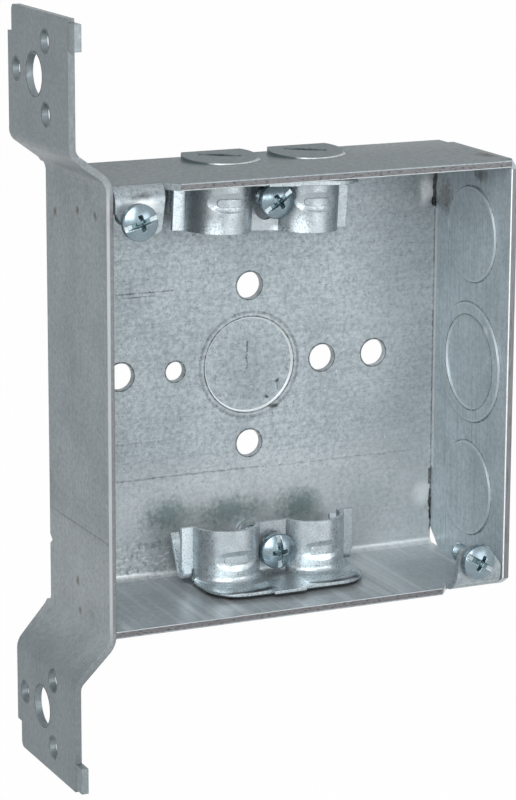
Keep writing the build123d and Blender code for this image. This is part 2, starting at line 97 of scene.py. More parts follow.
# Recess: half a slot wall's slope, lowest floor, slopes at a wing's end and side, and least depth painted
SLOT_SOFT = 0.06
LOWEST_CUT = 0.3
CROSS_END, CROSS_SIDE = 1.4, 0.25
LEAST_RECESS = 0.05
# Thread: first row, run-out under the head, parts of a half pitch that are flat and sloped, and the tip
FIRST_ROW = 0.05
RUN_OUT = (0.1, 0.9)
FLAT, FLANK = 0.2, 0.6
TIP_TAPER, TIP_SHARE = 0.9, 0.72

# Rows and columns of a screw's surface, and the share of the radius at its innermost row
COLUMNS = 168
CROWN_ROWS, RIM_ROWS = 84, 7
ROWS_PER_THREAD = 12
INNERMOST = 0.03

# Noise of the sheets and of the plated pieces: width of its patches
CLOUD, GRAIN, SPECK, ROLLED_LINE, DRIFT = 16.0, 1.1, 0.6, 0.6, 2.2
PLATED_CLOUD, DRAWN_LINE, PIT = 2.2, 0.35, 0.5

# Edges and bumps of the sheets and of the plated pieces: width of the soft edge and height of the bumps
SHEET_EDGE, PLATED_EDGE, EDGE_SAMPLES = 0.25, 0.2, 4
SHEET_RISE, PLATED_RISE = 0.1, 0.08
SHEET_BUMP, SHEET_METALLIC, SHEET_SPECULAR = 0.10, 0.45, 0.1

# Plated pieces: roughness, metallic share, stretch of the drawn lines and relief
CLAMP_PLATE = 0.34, 0.7, (1, 1, 40), 0.55
SCREW_PLATE = 0.26, 0.85, (1, 1, 1), 0.12

# The grain between which a ragged mark goes from thin to whole
THIN, WHOLE = 0.36, 0.60

# How far from the middle a mark ends that runs past its sheet, past the bracket's ears or through a clamp
FAR, PAST_EARS, THROUGH = 60, 80, 30

# Depth in which the sheared front edges lie
FRONT_LOW, FRONT_HIGH = -1, 0.05

# Axes that a circle is drawn in, for each face that it lies on
ON_BACK, ON_SIDE, ON_TOP = (1, 0, 1), (0, 1, 1), (1, 1, 0)

# Holes seen from inside: x, z and radius on the back; y, z and radius on the bracket, from the stud screws
BACK_HOLES = (
    (0, 19.05, 3.2), (0, -19.05, 3.2), (19.05, 0, 3.2), (32.8, 0, 3.2), (-32.8, 0, 3.2), (-19.05, 0, 2.35))
STUD_HOLES = ((0, 72.5, 4.75), (11.0, 72.5, 2.4), (-6.7, 80.4, 2.4), (-6.8, 64.5, 2.4))

# Knockouts: middle of the one in the back, then y of those in the side plate and their z and radius
BACK_KNOCKOUT = (0, 0, 0)
SIDE_KNOCKOUT_Y = 17.8
SIDE_KNOCKOUTS = ((30.8, 11.3), (-30.8, 11.3), (0, 14.3), (0, 11.3))

# Pryouts in the top: x of each, y, radius and turn of the slot in degrees
PRYOUTS = (-10.9, 10.9)
PRYOUT_Y, PRYOUT_RADIUS, PRY_SLOT_TURN = 29.4, 9.05, -24.0

# Marks on the back, the lower clamp's painted shade and reflection, then specks: x, z, half width, half
# height, strength
SHADE_BEHIND_CLAMP = ((-21.2, -34.5, 10, 6.5, 0.55), (-4.9, -35.4, 14, 6, 0.55), (13.6, -36.0, 9, 7, 0.60))
KNOCKOUT_SPECKS = ((7.6, -4.6, 0.9, 0.9, 0.9), (4.9, -8.4, 0.9, 0.9, 0.9), (6.4, -10.6, 2.0, 0.8, 0.8))

# Weld burns on the bracket: y, z and half height
WELD_BURNS = ((30.7, 41.2, 1.9), (17.2, 43.6, 1.8), (6.6, 43.9, 1.7), (19.0, -42.3, 2.0), (17.9, -48.9, 1.6))

# Painted highlights on the clamps: x, rise over the upper lip or lower foot, half width, half height,
# strength
UPPER_HIGHLIGHTS = ((-15.0, 1.5, 3.2, 5.5, 0.95), (7.0, 1.5, 3.0, 5.0, 0.95), (2.4, 0.5, 2.4, 2.6, 0.90))
LOWER_HIGHLIGHTS = ((-14.0, 3.8, 5.0, 3.0, 0.75), (9.0, 4.2, 6.0, 3.0, 0.75))
# The same on top of the lower foot: x, y, half width, half depth and strength
FOOT_HIGHLIGHTS = ((-12.0, 12.5, 3.0, 3.5, 0.60), (10.3, 13.5, 3.2, 4.0, 0.60))
# Lobe sides of the upper clamp painted darker, as shade: x, half width and strength
SHADED_LOBE_SIDES = ((-18.2, 2.2, 0.50), (17.2, 2.6, 0.40))

# The photograph's camera: picture in pixels, place in metres, angles in degrees
PICTURE = (516, 800)
FOCAL_PIXELS = 3061.75
CENTRE_PIXEL = (274.85, 401.85)
CAMERA_PLACE = (-0.23634, -0.62482, 0.15795)
CAMERA_AZIMUTH = -25.26
CAMERA_ELEVATION = 13.40
CAMERA_ROLL = -0.29
SENSOR_HEIGHT = 24.0

# Lamps: place and side in metres; floor: reach in metres, roughness and share that stays white
FRONT_LAMP = (0.55, -0.95, 0.05), 0.7
UPPER_LAMP = (-0.45, -0.95, 0.55), 0.9
FLOOR_REACH, FLOOR_ROUGHNESS, FLOOR_WHITE = 3.0, 0.8, 0.985

# Sockets of the colour Mix node
MIX_A, MIX_B, MIX_COLOUR = 6, 7, 2


class SheetFinish(bpy.types.PropertyGroup):
    """Galvanised sheet of the box and its bracket."""

    zinc: bpy.props.FloatVectorProperty(
        name="Zinc", description="Main colour of the coating", subtype="COLOR",
        default=(0.400, 0.452, 0.480))
    # Shade also paints shade on the top's outside, the plate's top edge and the bracket's ears
    shade: bpy.props.FloatVectorProperty(
        name="Shade", description="Colour of the darker grain", subtype="COLOR",
        default=(0.120, 0.155, 0.170))
    bare: bpy.props.FloatVectorProperty(
        name="Bare edge", description="Steel at the sheared edges", subtype="COLOR",
        default=(0.150, 0.149, 0.156))
    # Teal also paints the lower clamp's shade and reflection on the back
    teal: bpy.props.FloatVectorProperty(
        name="Teal", description="Dull stain left on the back wall", subtype="COLOR",
        default=(0.055, 0.115, 0.112))
    rust: bpy.props.FloatVectorProperty(
        name="Rust", description="Weld burn and rust", subtype="COLOR",
        default=(0.075, 0.052, 0.040))
    # Bright also paints light: lighter floor and lower back, floor reflection streaks, highlights on fold,
    # edges, seam, pryout rims and upper ear
    bright: bpy.props.FloatVectorProperty(
        name="Bright", description="Burnished zinc at rings, creases and welds", subtype="COLOR",
        default=(0.86, 0.89, 0.90))
    # Gap also paints the shadow under the lower clamp's foot and the shade in the pryout slots
    gap: bpy.props.FloatVectorProperty(
        name="Gap", description="Dirt in the shear lines and seams", subtype="COLOR",
        default=(0.012, 0.015, 0.015))
    gloss: bpy.props.FloatProperty(
        name="Roughness", description="Mean roughness of the zinc", subtype="FACTOR",
        default=0.40, min=0.0, max=1.0)


class BrightFinish(bpy.types.PropertyGroup):
    """Bright zinc plate of the clamps and screws."""

    clamp: bpy.props.FloatVectorProperty(
        name="Clamp", description="Colour of the clamps", subtype="COLOR",
        default=(0.45, 0.51, 0.54))
    screw: bpy.props.FloatVectorProperty(
        name="Screw", description="Colour of the screws", subtype="COLOR",
        default=(0.24, 0.31, 0.35))
    # Slot paints a highlight on the slot floor, and cross paints shade in the cross recess
    slot: bpy.props.FloatVectorProperty(
        name="Slot", description="Burnished floor of the screw slots", subtype="COLOR",
        default=(0.48, 0.55, 0.58))
    cross: bpy.props.FloatVectorProperty(
        name="Cross", description="Depth of the cross recess", subtype="COLOR",
        default=(0.10, 0.17, 0.19))


class ScrewForm(bpy.types.PropertyGroup):
    """Thread, slot and cross of the screws."""

    pitch: bpy.props.FloatProperty(
        name="Pitch", description="From one thread to the next", default=25.4 / 32 * MM, unit="LENGTH")
    thread_depth: bpy.props.FloatProperty(
        name="Thread depth", description="From crest to root", default=0.45 * MM, unit="LENGTH")
    slot_width: bpy.props.FloatProperty(
        name="Slot width", description="Across the screwdriver slot", default=1.2 * MM, unit="LENGTH")
    slot_depth: bpy.props.FloatProperty(
        name="Slot depth", description="Below the crown of the head", default=1.2 * MM, unit="LENGTH")
    cross_width: bpy.props.FloatProperty(
        name="Cross width", description="Across one wing of the cross", default=1.1 * MM, unit="LENGTH")
    cross_span: bpy.props.FloatProperty(
        name="Cross span", description="From wing tip to wing tip", default=4.4 * MM, unit="LENGTH")
    cross_depth: bpy.props.FloatProperty(
        name="Cross depth", description="Below the crown of the head", default=1.7 * MM, unit="LENGTH")


class Studio(bpy.types.PropertyGroup):
    """Floor, lamps and surroundings."""

    floor: bpy.props.FloatVectorProperty(
        name="Floor", description="Colour of the floor", subtype="COLOR",
        default=(0.9, 0.9, 0.9))
    floor_gap: bpy.props.FloatProperty(
        name="Floor gap", description="From the floor up to the part", default=0.03, unit="LENGTH")
    fill: bpy.props.FloatProperty(
        name="Fill", description="Strength of the even light from all round", default=0.22, min=0.0)
    front_lamp: bpy.props.FloatProperty(
        name="Front lamp", description="Power of the lamp at the front right, in watts", default=4.0, min=0.0)
    upper_lamp: bpy.props.FloatProperty(
        name="Upper lamp", description="Power of the lamp above the camera, in watts", default=13.5, min=0.0)


def node(tree, kind, inputs=None, **settings):
    """Adds a shader node, with its sockets set or linked, and returns its first output."""
    made = tree.nodes.new("ShaderNode" + kind)
    for name, value in settings.items():
        setattr(made, name, value)
    for key, value in (inputs or {}).items():
        if isinstance(value, bpy.types.NodeSocket):
            tree.links.new(value, made.inputs[key])
        else:
            made.inputs[key].default_value = value
    return made.outputs[0]


def math(tree, operation, a, b=0.0, hold=True):
    """One sum on two numbers or sockets, held between 0 and 1 unless told otherwise."""
    return node(tree, "Math", {0: a, 1: b}, operation=operation, use_clamp=hold)


def vector(tree, operation, a, b):
    """One sum on two vectors."""
    return node(tree, "VectorMath", {0: a, 1: b}, operation=operation)


def opaque(colour):
    """A colour with full alpha."""
    return (*colour[:3], 1.0)


def mix(tree, factor, a, b, blend="MIX"):
    """Blends colour a towards colour b."""
    made = node(tree, "Mix", data_type="RGBA", blend_type=blend).node
    for key, value in ((0, factor), (MIX_A, a), (MIX_B, b)):
        if isinstance(value, bpy.types.NodeSocket):
            tree.links.new(value, made.inputs[key])
        else:
            made.inputs[key].default_value = value if key == 0 else opaque(value)
    return made.outputs[MIX_COLOUR]


def ramp(tree, value, low, high, start=0.0, end=1.0):
    """Maps low..high of a value to start..end, held at both ends."""
    inputs = {"Value": value, "From Min": low, "From Max": high, "To Min": start, "To Max": end}
    return node(tree, "MapRange", inputs, clamp=True)


def object_place(tree):
    """Object coordinates in millimetres from the middle of the open front."""
    coordinates = tree.nodes.new("ShaderNodeTexCoord").outputs["Object"]
    inputs = {0: coordinates, 1: (1 / MM,) * 3, 2: [-c for c in OPENING]}
    return node(tree, "VectorMath", inputs, operation="MULTIPLY_ADD")


def noise(tree, place, size, detail=3.0, roughness=0.6, stretch=(1, 1, 1)):
    """Cloudy noise whose patches are about size millimetres, longer along the axes with a large stretch."""
    scaled = vector(tree, "DIVIDE", place, stretch)
    inputs = {"Vector": scaled, "Scale": 1 / size, "Detail": detail, "Roughness": roughness}
    return node(tree, "TexNoise", inputs)


def eaten(tree, mask, grain, ragged):
    """A mask that loses the ragged share where the grain is low."""
    return math(tree, "MULTIPLY", mask, ramp(tree, grain, THIN, WHOLE, 1.0 - ragged, 1.0))


def patch(centre, size, strength=0.9, turn=0.0):
    """Ragged patch about a centre: half sizes along the axes, turned about Z, eaten away by the grain."""

    def mask(tree, place, grain):
        arm = vector(tree, "SUBTRACT", place, centre)
        if turn:
            inputs = {"Vector": arm, "Angle": -np.radians(turn)}
            arm = node(tree, "VectorRotate", inputs, rotation_type="Z_AXIS")
        scaled = vector(tree, "DIVIDE", arm, size)
        away = node(tree, "VectorMath", {0: scaled}, operation="LENGTH").node.outputs["Value"]
        highlight = math(tree, "MULTIPLY", ramp(tree, away, 1.0, 0.0), grain)
        return ramp(tree, highlight, 0.10, 0.36, 0.0, strength)

    return mask


def band(low, high, soft=0.1, strength=0.9, ragged=0.0):
    """Box between two corners that fades over the soft length, with part of it lost to the grain."""

    def mask(tree, place, grain):
        middle = [(a + b) / 2 for a, b in zip(low, high)]
        half = [(b - a) / 2 for a, b in zip(low, high)]
        away = vector(tree, "ABSOLUTE", vector(tree, "SUBTRACT", place, middle), (0, 0, 0))
        past = node(tree, "SeparateXYZ", {0: vector(tree, "SUBTRACT", away, half)}).node.outputs
        outside = math(tree, "MAXIMUM", math(tree, "MAXIMUM", past[0], past[1], False), past[2], False)
        return eaten(tree, ramp(tree, outside, soft, 0.0, 0.0, strength), grain, ragged)

    return mask


def ring(centre, flat, radius, width, strength=0.9, ragged=0.0):
    """Circle of the given line width round a centre; flat is 0 for the axis that the circle faces, else 1."""

    def mask(tree, place, grain):
        arm = vector(tree, "MULTIPLY", vector(tree, "SUBTRACT", place, centre), flat)
        away = node(tree, "VectorMath", {0: arm}, operation="LENGTH").node.outputs["Value"]
        off = math(tree, "ABSOLUTE", math(tree, "SUBTRACT", away, radius, False), 0.0, False)
        return eaten(tree, ramp(tree, off, width / 2, width / 4, 0.0, strength), grain, ragged)

    return mask


def streaks(low, high, size, stretch, strength, soft=0.05):
    """Cloudy streaks within the box between two corners."""

    def mask(tree, place, grain):
        cloud = ramp(tree, noise(tree, place, size, 2.0, 0.5, stretch), 0.52, 0.70, 0.0, strength)
        return math(tree, "MULTIPLY", band(low, high, soft, 1.0)(tree, place, grain), cloud)

    return mask


def wavering(mask, amount):
    """A mask whose outline wanders by about the amount, with the sheet's one drifting noise."""

    def moved(tree, place, grain):
        drift = vector(tree, "SUBTRACT", tree.nodes["drift"].outputs["Color"], (0.5,) * 3)
        shift = vector(tree, "MULTIPLY", drift, (3 * amount,) * 3)
        return mask(tree, vector(tree, "ADD", place, shift), grain)

    return moved


def both(first, second):
    """Where two masks overlap."""
    return lambda tree, place, grain: math(
        tree, "MULTIPLY", first(tree, place, grain), second(tree, place, grain))


def new_material(name):
    """A node material with its Principled shader and its tree."""
    material = bpy.data.materials.new(name)
    material.use_nodes = True
    tree = material.node_tree
    return material, tree, tree.nodes["Principled BSDF"]


def bumpy(tree, soft_edge, strength, rise, height):
    """Normal of a surface whose edges are softened and whose bumps follow the height."""
    edge = node(tree, "Bevel", {"Radius": soft_edge * MM}, samples=EDGE_SAMPLES)
    inputs = {"Strength": strength, "Distance": rise * MM, "Height": height, "Normal": edge}
    return node(tree, "Bump", inputs)


def wire(tree, shader, colour, roughness, normal):
    """Links colour, roughness and normal to a shader."""
    for name, socket in (("Base Color", colour), ("Roughness", roughness), ("Normal", normal)):
        tree.links.new(socket, shader.inputs[name])


def galvanised(name, finish, along, tone, contrast, layers):
    """Zinc-coated sheet: clouds, grain, specks and rolled lines along one axis, under (colour, mask) layers.

    The tone scales the zinc's colours; contrast holds the shares of the grain, the lines and the specks.
    """
    material, tree, shader = new_material(name)
    place = object_place(tree)
    clouds = noise(tree, place, CLOUD, 3.0)
    grain = noise(tree, place, GRAIN, 5.0, 0.75)
    specks = noise(tree, place, SPECK, 2.0, 0.5)
    lines = noise(tree, place, ROLLED_LINE, 3.0, 0.7, along)
    node(tree, "TexNoise", {"Vector": place, "Scale": 1 / DRIFT, "Detail": 2.0}, name="drift")
    zinc = [tone * c for c in finish.zinc]
    shade = [tone * c for c in finish.shade]

    in_grain, in_lines, in_specks = contrast
    colour = mix(tree, ramp(tree, grain, 0.40, 0.74, 0.0, in_grain), zinc, shade)
    colour = mix(tree, ramp(tree, clouds, 0.40, 0.75, 0.0, 0.35), colour, shade)
    colour = mix(tree, ramp(tree, lines, 0.48, 0.80, 0.0, in_lines), colour, shade)
    colour = mix(tree, ramp(tree, specks, 0.32, 0.22, 0.0, in_specks), colour, finish.bright)
    colour = mix(tree, ramp(tree, specks, 0.62, 0.76, 0.0, in_specks), colour, finish.gap)
    for tint, mask in layers:
        colour = mix(tree, mask(tree, place, grain), colour, tint)

    rough = ramp(tree, grain, 0.3, 0.75, finish.gloss - 0.10, finish.gloss + 0.12)
    rise = ramp(tree, grain, 0.3, 0.7, 0.0, 0.6)
    groove = ramp(tree, lines, 0.3, 0.7, 0.0, 0.4)
    height = math(tree, "ADD", rise, groove)
    wire(tree, shader, colour, rough, bumpy(tree, SHEET_EDGE, SHEET_BUMP, SHEET_RISE, height))
    shader.inputs["Metallic"].default_value = SHEET_METALLIC
    shader.inputs["Specular IOR Level"].default_value = SHEET_SPECULAR
    return material


def bright_zinc(name, colour, roughness, metallic, along, relief, layers=(), recess=None):
    """Plated steel: clouds, drawn lines and pits, under (colour, mask) layers and (slot, cross) colours: a
    painted highlight on the slot floor and painted shade in the cross recess.

    The relief sets the strength of the bumps and how far the pits change the roughness.
    """
    material, tree, shader = new_material(name)
    place = object_place(tree)
    clouds = noise(tree, place, PLATED_CLOUD, 4.0, 0.6)
    lines = noise(tree, place, DRAWN_LINE, 3.0, 0.7, along)
    pits = noise(tree, place, PIT, 2.0, 0.5)
    dark = [0.55 * c for c in colour]
    shade = mix(tree, ramp(tree, clouds, 0.4, 0.75, 0.0, 0.5), colour, dark)
    shade = mix(tree, ramp(tree, lines, 0.5, 0.8, 0.0, 0.35), shade, dark)
    shade = mix(tree, ramp(tree, pits, 0.70, 0.78, 0.0, 0.6), shade, [0.15 * c for c in colour])
    for tint, mask in layers:
        shade = mix(tree, mask(tree, place, pits), shade, tint)
    # Painted highlight on the slot floor, then painted shade in the cross recess
    if recess:
        depth = node(tree, "Attribute", attribute_name="recess").node.outputs["Fac"]
        shade = mix(tree, ramp(tree, depth, 0.2, 0.45, 0.0, 0.65), shade, recess[0])
        shade = mix(tree, ramp(tree, depth, 0.6, 0.9, 0.0, 0.9), shade, recess[1])
    rough = ramp(tree, pits, 0.3, 0.7, roughness - 0.3 * relief, roughness + 0.3 * relief)
    height = math(tree, "ADD", math(tree, "MULTIPLY", clouds, 0.6), math(tree, "MULTIPLY", pits, 0.4))
    wire(tree, shader, shade, rough, bumpy(tree, PLATED_EDGE, relief, PLATED_RISE, height))
    shader.inputs["Metallic"].default_value = metallic
    return material


def dress(name, material):
    """Gives a carried-over node its finish."""
    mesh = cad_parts[name].data
    mesh.materials.clear()
    mesh.materials.append(material)


# Places that keep a mark off a sheet's other side: inside of the body, its right seam, inside of the plate
INSIDE = band((-FAR, 0, -FAR), (FAR, BACK + 0.3, FAR), 0.2, 1.0)
SEAM = band((48, BACK - 0.5, -FAR), (INNER + 1, BACK + 1.3, FAR), 0.1, 1.0)
PLATE_FACE = band((45, 0, -FAR), (INNER + 0.2, FAR, FAR), 0.1, 1.0)

# Half the length of a mark that runs the whole width of a wall
WIDE = INNER + 1.0


def wall_layers(finish):
    """Painted shade on the top's outside, painted light and reflection streaks on the floor, and a painted
    shadow under the lower clamp's foot.
    """
    top = (-WIDE, 0.2, HALF - 0.05), (WIDE, FAR, HALF + 4)
    floor = (-WIDE, 0.3, -INNER - 0.1), (WIDE, BACK - 1, -INNER + 0.1)
    floor_face = band((-20, 9, -INNER - 0.1), (20, 26, -INNER + 0.1), 0.02, 1.0)
    shadow_under_foot = band((-14.5, 13.4, -FAR), (14.5, 23, -45), 2.4, 0.9)
    return [
        # Painted shade: the top's outside made darker for the light that falls on it
        (finish.shade, band(*top, 0.02, 1.0)),
        # Painted light on the floor, then painted reflection streaks along it
        (finish.bright, band(*floor, 0.05, 0.20, 0.5)),
        (finish.bright, streaks(*floor, 2.4, (1, 40, 1), 0.35)),
        # Painted shadow on the floor under the lower clamp's foot
        (finish.gap, both(floor_face, shadow_under_foot)),
    ]


def back_layers(finish):
    """Painted light on the lower part and right side of the back, the lower clamp's painted shade and
    reflection, dim teal stains, its scuffed corner and a painted highlight on the fold below.
    """
    worn_corner = (-37, BACK - 0.2, -INNER), (-21, BACK + 0.2, -43)
    fold = band((-WIDE, BACK - 1.6, -INNER - 0.1), (WIDE, BACK + 0.1, -INNER + 0.9), 0.3, 0.6, 0.8)
    layers = [
        # Painted light: the lower part and the right side of the back made lighter
        (finish.bright, band((-WIDE, BACK - 0.2, -WIDE), (WIDE, BACK + 1, -32), 14.0, 0.20)),
        (finish.bright, band((34, BACK - 0.2, -WIDE), (WIDE, BACK + 1, WIDE), 16.0, 0.10)),
        (finish.shade, ring(BACK_KNOCKOUT, ON_BACK, 0.0, 24.0, 0.25)),
    ]
    # Painted shade and reflection of the lower clamp on the back
    for x, z, half_width, half_height, strength in SHADE_BEHIND_CLAMP:
        clamp_shade = patch((x, BACK, z), (half_width, 4, half_height), strength)
        layers.append((finish.teal, both(INSIDE, wavering(clamp_shade, 1.6))))
    return layers + [
        (finish.teal, both(INSIDE, patch((31.0, BACK, -35.0), (14, 3, 12), 0.20))),
        (finish.bright, both(INSIDE, streaks(*worn_corner, 0.7, (2.2, 1, 1), 0.50, 6.0))),
        (finish.teal, both(INSIDE, streaks(*worn_corner, 0.9, (1, 1, 2.0), 0.55, 6.0))),
        # Painted highlight along the fold between back and floor
        (finish.bright, wavering(fold, 0.3)),
    ]


def knockout_layers(finish):
    """Sheared rim, scratch and specks of the knockout in the back."""
    scratch = band((-0.5, BACK, -1.0), (-0.2, BACK + 1, 5.5), 0.15, 0.8, 0.9)
    layers = [
        (finish.bright, ring(BACK_KNOCKOUT, ON_BACK, 11.25, 0.4, 0.9, 0.3)),
        (finish.gap, ring(BACK_KNOCKOUT, ON_BACK, 11.62, 0.4, 0.85, 0.6)),
        (finish.gap, ring(BACK_KNOCKOUT, ON_BACK, 12.7, 0.9, 0.45, 0.6)),
        (finish.gap, wavering(scratch, 0.3)),
    ]
    for x, z, half_width, half_height, strength in KNOCKOUT_SPECKS:
        layers.append((finish.gap, patch((x, BACK, z), (half_width, 2, half_height), strength)))
    return layers


def scratch_layers(finish):
    """Level scratches on the back: two at the upper left, the long one in two parts and a faint one."""
    long_left = band((-34.0, BACK - 1, -25.2), (3, BACK + 1, -25.1), 0.2, 0.55, 0.7)
    long_right = band((3, BACK - 1, -25.4), (44, BACK + 1, -25.3), 0.2, 0.32, 0.9)
    return [
        (finish.gap, band((-33.8, BACK - 0.2, 19.3), (-19.6, BACK + 0.2, 19.5), 0.15, 0.7, 0.8)),
        (finish.gap, band((-32.0, BACK - 0.2, 18.4), (-24.0, BACK + 0.2, 18.6), 0.15, 0.6, 0.8)),
        (finish.gap, wavering(long_left, 0.2)),
        (finish.gap, wavering(long_right, 0.3)),
        (finish.gap, band((-34.0, BACK - 0.2, -16.4), (-20, BACK + 0.2, -16.2), 0.2, 0.3, 0.8)),
    ]


def weld_layers(finish):
    """Weld splashes by the right seam, its dark line and open ends, a burn on the top, a painted highlight
    with a dark ragged band above it on the upper ear's bend, and a weld bead on the lower ear.
    """
    upper_end = band((48.5, 30, 34.6), (FAR, FAR, 44.0), 0.2, 0.97, 0.2)
    lower_end = band((48.9, 30, -45.8), (FAR, FAR, -35.5), 0.2, 0.95, 0.2)
    return [
        (finish.bright, both(INSIDE, wavering(patch((46.4, BACK, 38.6), (3.2, 2.5, 5.4), 1.0), 0.8))),
        (finish.bright, both(INSIDE, wavering(patch((46.6, BACK, -36.6), (4.2, 2.5, 5.0), 0.55), 0.8))),
        (finish.gap, band((INNER - 0.3, BACK - 0.2, -46), (INNER + 1, BACK + 0.3, 34), 0.12, 0.7, 0.8)),
        (finish.gap, both(SEAM, wavering(upper_end, 0.5))),
        (finish.gap, both(SEAM, wavering(lower_end, 0.6))),
        (finish.gap, patch((48.4, 9.7, HALF), (4.0, 5.0, 3.0), 1.0)),
        # Painted highlight on the upper ear's bend, then a dark ragged band above it
        (finish.bright, wavering(patch((-42.5, 1.0, 46.4), (6.5, 4.0, 2.8), 0.6), 0.6)),
        (finish.gap, wavering(patch((-42.5, 1.5, 48.4), (7.0, 2.5, 1.6), 0.7), 0.5)),
        (finish.bright, patch((35.2, 2.0, -50.2), (1.8, 3.0, 1.6), 0.9)),
    ]


def opening_layers(finish):
    """Dark rims of the back's holes, and painted highlights on the front rims and painted shade in the slots
    of the pryouts in the top.
    """
    layers = []
    for x, z, radius in BACK_HOLES:
        layers.append((finish.gap, ring((x, 0, z), ON_BACK, radius + 0.22, 0.36, 0.85, 0.4)))
    for x in PRYOUTS:
        centre = (x, PRYOUT_Y, HALF)
        # Painted highlight on the front of the pryout's rim, then painted shade in its slot
        rim = ring(centre, ON_TOP, PRYOUT_RADIUS, 0.6, 0.9, 0.4)
        front = band((x - 4, 10, HALF - 1), (x + 9, 25, HALF + 3), 2.0, 1.0)
        layers.append((finish.bright, both(rim, front)))
        layers.append((finish.gap, patch(centre, (5.8, 2.2, 3.0), 0.95, PRY_SLOT_TURN)))
    return layers


def front_edge_layers(finish):
    """Sheared front edges of the top and bottom walls: a painted highlight along the inside corner beside
    bare, streaked steel.
    """
    layers = []
    for side in (1, -1):
        line = sorted((side * (INNER - 0.1), side * (INNER + 0.25)))
        bare = sorted((side * (INNER + 0.25), side * (HALF - 0.3)))
        inner = (-WIDE, FRONT_LOW, line[0]), (WIDE, FRONT_HIGH, line[1])
        front = (-WIDE, FRONT_LOW, bare[0]), (WIDE, FRONT_HIGH, bare[1])
        # Painted highlight along the inside corner of the edge
        layers.append((finish.bright, band(*inner, 0.04, 0.4, 0.8)))
        layers.append((finish.bare, band(*front, 0.1, 0.95)))
        layers.append((finish.gap, streaks(*front, 0.5, (2.0, 1, 0.7), 0.8)))
    return layers


def body_layers(finish):
    """All the marks of the folded body, the lowest layer first."""
    groups = (
        wall_layers, back_layers, knockout_layers, scratch_layers,
        weld_layers, opening_layers, front_edge_layers)
    return [layer for group in groups for layer in group(finish)]


def plate_layers(finish):
    """Rust by the welds, a painted highlight along the seam, the open seam, painted shade on the top edge,
    the sheared edges with a painted highlight on their inside, and the shear rings of the right side plate.
    """
    upper_rust = patch((INNER, 31.5, 38.0), (3, 5.5, 7.0), 0.60)
    front_rust = patch((INNER, 14.5, 45.4), (3, 5.0, 2.6), 0.60)
    upper_end = band((45, BACK - 0.3, 34.6), (FAR, FAR, 46), 0.3, 0.98, 0.2)
    lower_end = band((45, BACK - 0.2, -46), (FAR, FAR, -38), 0.3, 0.98, 0.2)
    short_gap = band((45, BACK - 0.1, -35.0), (FAR, FAR, -30.0), 0.3, 0.8, 0.3)
    front = (INNER - 1, FRONT_LOW, -FAR), (HALF + 1, FRONT_HIGH, FAR)
    front_outer = (INNER + 0.3, FRONT_LOW, -FAR), (HALF + 1, FRONT_HIGH, FAR)
    front_inner = (INNER - 1, FRONT_LOW, -FAR), (INNER + 0.25, FRONT_HIGH, FAR)
    layers = [
        (finish.rust, both(PLATE_FACE, wavering(upper_rust, 0.8))),
        (finish.rust, both(PLATE_FACE, wavering(front_rust, 0.8))),
        (finish.bright, both(PLATE_FACE, patch((INNER, 29.0, 31.6), (2, 2.0, 2.0), 0.5))),
        (finish.bright, both(PLATE_FACE, patch((INNER, 9.9, 8.8), (2, 2.2, 2.2), 0.5))),
        # Painted highlight along the seam inside the plate
        (finish.bright, band((INNER - 0.5, BACK - 1.0, -30), (INNER + 0.2, BACK + 0.1, 34), 0.3, 0.8, 0.7)),
        (finish.gap, both(PLATE_FACE, wavering(upper_end, 0.6))),
        (finish.gap, both(PLATE_FACE, wavering(lower_end, 0.6))),
        (finish.gap, both(PLATE_FACE, short_gap)),
        # Painted shade on the plate's top edge
        (finish.shade, band((INNER - 1, 0.2, HALF - 0.3), (HALF + 1, FAR, HALF + 1), 0.05, 0.9)),
        (finish.bare, band(*front, 0.04, 0.9)),
        (finish.gap, streaks(*front_outer, 0.9, (0.6, 1, 5), 0.4)),
        # Painted highlight on the inside of the sheared front edge
        (finish.bright, band(*front_inner, 0.1, 0.95, 0.3)),
    ]
    for z, radius in SIDE_KNOCKOUTS:
        centre = (INNER, SIDE_KNOCKOUT_Y, z)
        layers.append((finish.bright, ring(centre, ON_SIDE, radius - 0.15, 0.4, 0.5, 0.9)))
        layers.append((finish.gap, ring(centre, ON_SIDE, radius + 0.2, 0.4, 0.7, 0.7)))
    return layers


